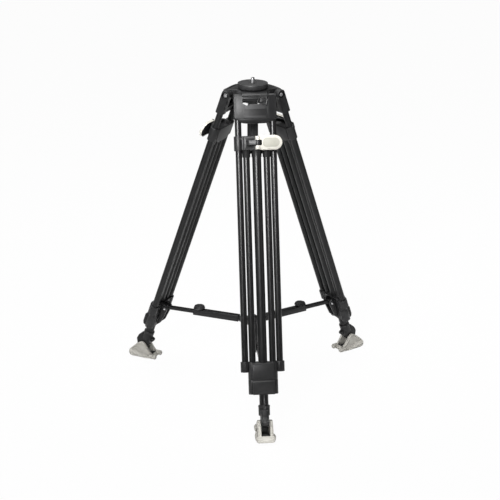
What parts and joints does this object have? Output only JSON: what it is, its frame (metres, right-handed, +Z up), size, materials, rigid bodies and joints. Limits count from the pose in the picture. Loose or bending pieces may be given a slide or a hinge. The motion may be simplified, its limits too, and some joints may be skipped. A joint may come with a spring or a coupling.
{
  "type": "video tripod",
  "caption": "Heavy-duty twin-tube video tripod with a flat round head plate, quick-lever telescoping legs, mid-level spreader and hoof feet.",
  "frame": {"origin": "on the floor, at the centre of the rectangle round the three feet; the tripod's own axis stands 81.8 mm behind it", "axes": "+Z up, the front leg points along -Y, +X to the right seen from the front"},
  "size_m": [0.6686, 0.579, 0.8187],
  "materials": {
    "black_casting": "satin",
    "black_tube": "satin anodised",
    "black_plate": "fine matte",
    "bright_steel": "bright",
    "cream_plastic": "satin",
    "cream_rubber": "matte",
    "black_rubber": "matte"
  },
  "bodies": {
    "crown_body": {"crown": "black_casting", "head_plate": "black_plate", "head_screw": "bright_steel"},
    "tie_down": {"tie_down_handle": "black_rubber"},
    "spreader_centre": {"spreader_hub": "black_casting"},
    "front_upper_stage": {"front_shoulder": "black_casting", "front_hinge_bolt": "bright_steel", "front_outer_tube_left": "black_tube", "front_outer_tube_right": "black_tube", "front_lower_casting": "black_casting"},
    "front_angle_lock": {"front_angle_tab": "black_casting"},
    "front_middle_stage": {"front_collar": "black_casting", "front_inner_tube_left": "black_tube", "front_inner_tube_right": "black_tube", "front_end_block": "black_casting", "front_lever_pin": "bright_steel"},
    "front_quick_lever": {"front_lever": "cream_plastic"},
    "front_lower_stage": {"front_centre_tube": "black_tube", "front_ankle": "black_casting"},
    "front_shoe": {"front_foot": "cream_rubber"},
    "front_arm": {"front_spreader_arm": "black_tube"},
    "front_knob": {"front_spreader_knob": "black_rubber"},
    "front_rod": {"front_spreader_rod": "black_tube"},
    "right_upper_stage": {"right_shoulder": "black_casting", "right_hinge_bolt": "bright_steel", "right_outer_tube_left": "black_tube", "right_outer_tube_right": "black_tube", "right_lower_casting": "black_casting"},
    "right_angle_lock": {"right_angle_tab": "black_casting"},
    "right_middle_stage": {"right_collar": "black_casting", "right_inner_tube_left": "black_tube", "right_inner_tube_right": "black_tube", "right_end_block": "black_casting", "right_lever_pin": "bright_steel"},
    "right_quick_lever": {"right_lever": "cream_plastic"},
    "right_lower_stage": {"right_centre_tube": "black_tube", "right_ankle": "black_casting"},
    "right_shoe": {"right_foot": "cream_rubber"},
    "right_arm": {"right_spreader_arm": "black_tube"},
    "right_knob": {"right_spreader_knob": "black_rubber"},
    "right_rod": {"right_spreader_rod": "black_tube"},
    "left_upper_stage": {"left_shoulder": "black_casting", "left_hinge_bolt": "bright_steel", "left_outer_tube_left": "black_tube", "left_outer_tube_right": "black_tube", "left_lower_casting": "black_casting"},
    "left_angle_lock": {"left_angle_tab": "black_casting"},
    "left_middle_stage": {"left_collar": "black_casting", "left_inner_tube_left": "black_tube", "left_inner_tube_right": "black_tube", "left_end_block": "black_casting", "left_lever_pin": "bright_steel"},
    "left_quick_lever": {"left_lever": "cream_plastic"},
    "left_lower_stage": {"left_centre_tube": "black_tube", "left_ankle": "black_casting"},
    "left_shoe": {"left_foot": "cream_rubber"},
    "left_arm": {"left_spreader_arm": "black_tube"},
    "left_knob": {"left_spreader_knob": "black_rubber"},
    "left_rod": {"left_spreader_rod": "black_tube"}
  },
  "joints": [
    {"name": "tie_down_turn", "type": "hinge", "parent": "crown_body", "child": "tie_down", "pos_m": [0, 0.08178, 0.745], "axis": [0, 0, 1], "range_deg": [-180, 180]},
    {"name": "front_leg_fold", "type": "hinge", "parent": "crown_body", "child": "front_upper_stage", "pos_m": [0, 0.03028, 0.7781], "axis": [1, 0, 0], "range_deg": [0, 14]},
    {"name": "front_angle_lock_pull", "type": "slide", "parent": "front_upper_stage", "child": "front_angle_lock", "axis": [0, -0.9403, 0.3404], "range_m": [0, 0.004]},
    {"name": "front_middle_extend", "type": "slide", "parent": "front_upper_stage", "child": "front_middle_stage", "axis": [0, -0.3404, -0.9403], "range_m": [0, 0.38]},
    {"name": "front_quick_lever_open", "type": "hinge", "parent": "front_middle_stage", "child": "front_quick_lever", "pos_m": [0.0024, -0.03276, 0.68473], "axis": [0, -0.3404, -0.9403], "range_deg": [0, 110]},
    {"name": "front_lower_extend", "type": "slide", "parent": "front_middle_stage", "child": "front_lower_stage", "axis": [0, -0.3404, -0.9403], "range_m": [0, 0.38]},
    {"name": "front_foot_tilt", "type": "hinge", "parent": "front_lower_stage", "child": "front_shoe", "pos_m": [0, -0.24802, 0.03868], "axis": [1, 0, 0], "range_deg": [-18, 18]},
    {"name": "right_leg_fold", "type": "hinge", "parent": "crown_body", "child": "right_upper_stage", "pos_m": [0.0446, 0.10753, 0.7781], "axis": [-0.5, 0.866, 0], "range_deg": [0, 14]},
    {"name": "right_angle_lock_pull", "type": "slide", "parent": "right_upper_stage", "child": "right_angle_lock", "axis": [0.8143, 0.4701, 0.3404], "range_m": [0, 0.004]},
    {"name": "right_middle_extend", "type": "slide", "parent": "right_upper_stage", "child": "right_middle_stage", "axis": [0.2948, 0.1702, -0.9403], "range_m": [0, 0.38]},
    {"name": "right_quick_lever_open", "type": "hinge", "parent": "right_middle_stage", "child": "right_quick_lever", "pos_m": [0.098, 0.14113, 0.68473], "axis": [0.2948, 0.1702, -0.9403], "range_deg": [0, 110]},
    {"name": "right_lower_extend", "type": "slide", "parent": "right_middle_stage", "child": "right_lower_stage", "axis": [0.2948, 0.1702, -0.9403], "range_m": [0, 0.38]},
    {"name": "right_foot_tilt", "type": "hinge", "parent": "right_lower_stage", "child": "right_shoe", "pos_m": [0.28562, 0.24668, 0.03868], "axis": [-0.5, 0.866, 0], "range_deg": [-18, 18]},
    {"name": "left_leg_fold", "type": "hinge", "parent": "crown_body", "child": "left_upper_stage", "pos_m": [-0.0446, 0.10753, 0.7781], "axis": [-0.5, -0.866, 0], "range_deg": [0, 14]},
    {"name": "left_angle_lock_pull", "type": "slide", "parent": "left_upper_stage", "child": "left_angle_lock", "axis": [-0.8143, 0.4701, 0.3404], "range_m": [0, 0.004]},
    {"name": "left_middle_extend", "type": "slide", "parent": "left_upper_stage", "child": "left_middle_stage", "axis": [-0.2948, 0.1702, -0.9403], "range_m": [0, 0.38]},
    {"name": "left_quick_lever_open", "type": "hinge", "parent": "left_middle_stage", "child": "left_quick_lever", "pos_m": [-0.1004, 0.13697, 0.68473], "axis": [-0.2948, 0.1702, -0.9403], "range_deg": [0, 110]},
    {"name": "left_lower_extend", "type": "slide", "parent": "left_middle_stage", "child": "left_lower_stage", "axis": [-0.2948, 0.1702, -0.9403], "range_m": [0, 0.38]},
    {"name": "left_foot_tilt", "type": "hinge", "parent": "left_lower_stage", "child": "left_shoe", "pos_m": [-0.28562, 0.24668, 0.03868], "axis": [-0.5, -0.866, 0], "range_deg": [-18, 18]},
    {"name": "spreader_rise", "type": "slide", "parent": "crown_body", "child": "spreader_centre", "axis": [0, 0, 1], "range_m": [0, 0.194]},
    {"name": "front_arm_swing", "type": "hinge", "parent": "spreader_centre", "child": "front_arm", "pos_m": [0, 0.05178, 0.1665], "axis": [1, 0, 0], "range_deg": [0, 72]},
    {"name": "front_knob_turn", "type": "hinge", "parent": "front_arm", "child": "front_knob", "pos_m": [0, -0.07515, 0.16214], "axis": [0, -0.0343, 0.9994], "range_deg": [-180, 180]},
    {"name": "front_rod_swing", "type": "hinge", "parent": "front_upper_stage", "child": "front_rod", "pos_m": [0, -0.17425, 0.15873], "axis": [1, 0, 0], "range_deg": [0, 58]},
    {"name": "right_arm_swing", "type": "hinge", "parent": "spreader_centre", "child": "right_arm", "pos_m": [0.02598, 0.09678, 0.1665], "axis": [-0.5, 0.866, 0], "range_deg": [0, 72]},
    {"name": "right_knob_turn", "type": "hinge", "parent": "right_arm", "child": "right_knob", "pos_m": [0.1359, 0.16024, 0.16214], "axis": [0.0297, 0.0172, 0.9994], "range_deg": [-180, 180]},
    {"name": "right_rod_swing", "type": "hinge", "parent": "right_upper_stage", "child": "right_rod", "pos_m": [0.22173, 0.2098, 0.15873], "axis": [-0.5, 0.866, 0], "range_deg": [0, 58]},
    {"name": "left_arm_swing", "type": "hinge", "parent": "spreader_centre", "child": "left_arm", "pos_m": [-0.02598, 0.09678, 0.1665], "axis": [-0.5, -0.866, 0], "range_deg": [0, 72]},
    {"name": "left_knob_turn", "type": "hinge", "parent": "left_arm", "child": "left_knob", "pos_m": [-0.1359, 0.16024, 0.16214], "axis": [-0.0297, 0.0172, 0.9994], "range_deg": [-180, 180]},
    {"name": "left_rod_swing", "type": "hinge", "parent": "left_upper_stage", "child": "left_rod", "pos_m": [-0.22173, 0.2098, 0.15873], "axis": [-0.5, -0.866, 0], "range_deg": [0, 58]}
  ],
  "couplings": [
    {"joint": "right_leg_fold", "follows": "front_leg_fold", "ratio": 1},
    {"joint": "left_leg_fold", "follows": "front_leg_fold", "ratio": 1},
    {"joint": "spreader_rise", "follows": "front_leg_fold", "m_per_rad": 0.7919},
    {"joint": "front_arm_swing", "follows": "front_leg_fold", "ratio": 5.1095},
    {"joint": "front_rod_swing", "follows": "front_leg_fold", "ratio": 4.1095},
    {"joint": "right_arm_swing", "follows": "front_leg_fold", "ratio": 5.1095},
    {"joint": "right_rod_swing", "follows": "front_leg_fold", "ratio": 4.1095},
    {"joint": "left_arm_swing", "follows": "front_leg_fold", "ratio": 5.1095},
    {"joint": "left_rod_swing", "follows": "front_leg_fold", "ratio": 4.1095}
  ]
}
